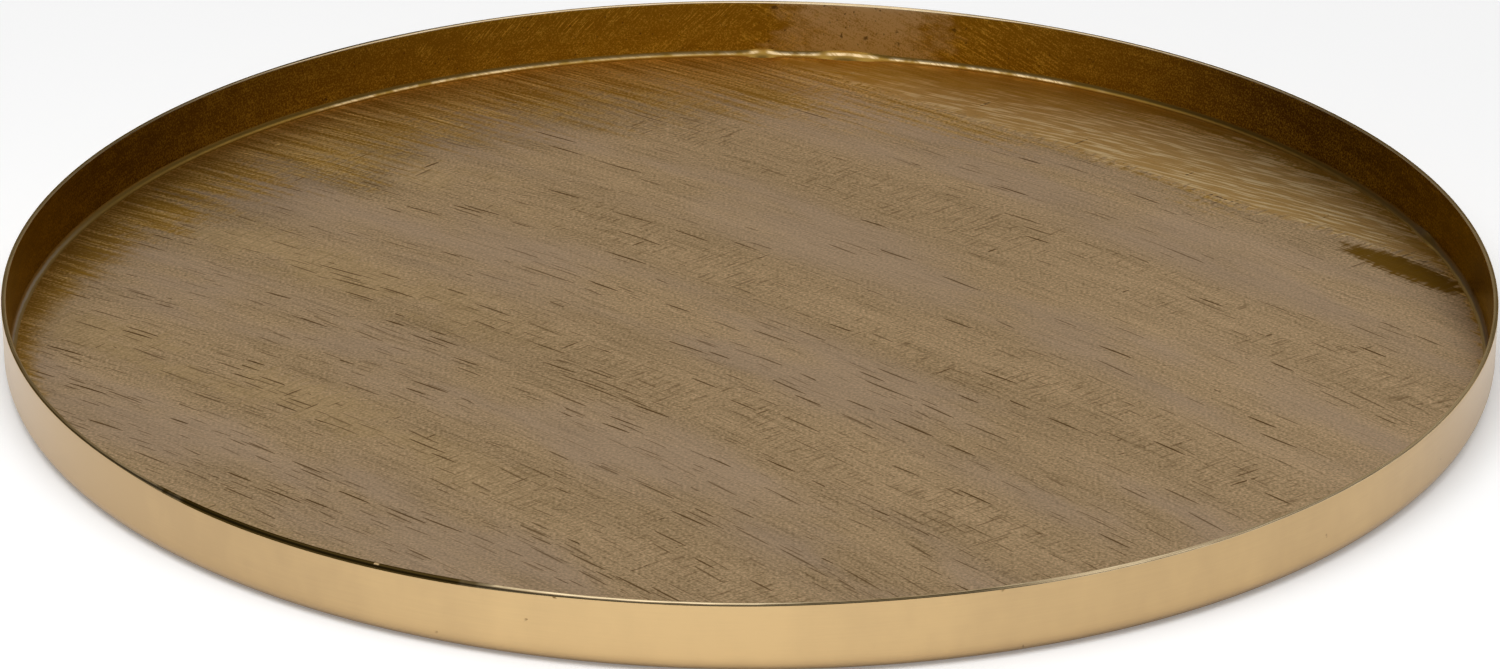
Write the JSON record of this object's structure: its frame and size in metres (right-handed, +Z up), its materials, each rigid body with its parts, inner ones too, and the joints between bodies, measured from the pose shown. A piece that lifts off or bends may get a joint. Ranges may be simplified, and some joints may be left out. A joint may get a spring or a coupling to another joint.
{
  "type": "round tray",
  "caption": "Shallow round serving tray of brushed brass: a flat disc floor inside a low upright rolled rim, welded at the corner, for carrying and displaying things.",
  "frame": {"origin": "centre of the flat underside", "axes": "+Z up along the tray's axis, +Y towards the back, where the rim's butt seam is, +X to the right"},
  "size_m": [0.4, 0.4, 0.019],
  "materials": {
    "brushed_floor": "toned brown, brushed by hand with short crossing strokes, satin",
    "satin_rim": "satin gold, ground and brushed along the rim",
    "dressed_weld": "dressed weld metal, satin with bright high spots"
  },
  "bodies": {
    "root": {"base_disc": "brushed_floor", "rim_band": "satin_rim", "rim_seam_weld": "satin_rim", "inner_corner_bead": "dressed_weld", "outer_corner_weld": "satin_rim"}
  },
  "joints": []
}
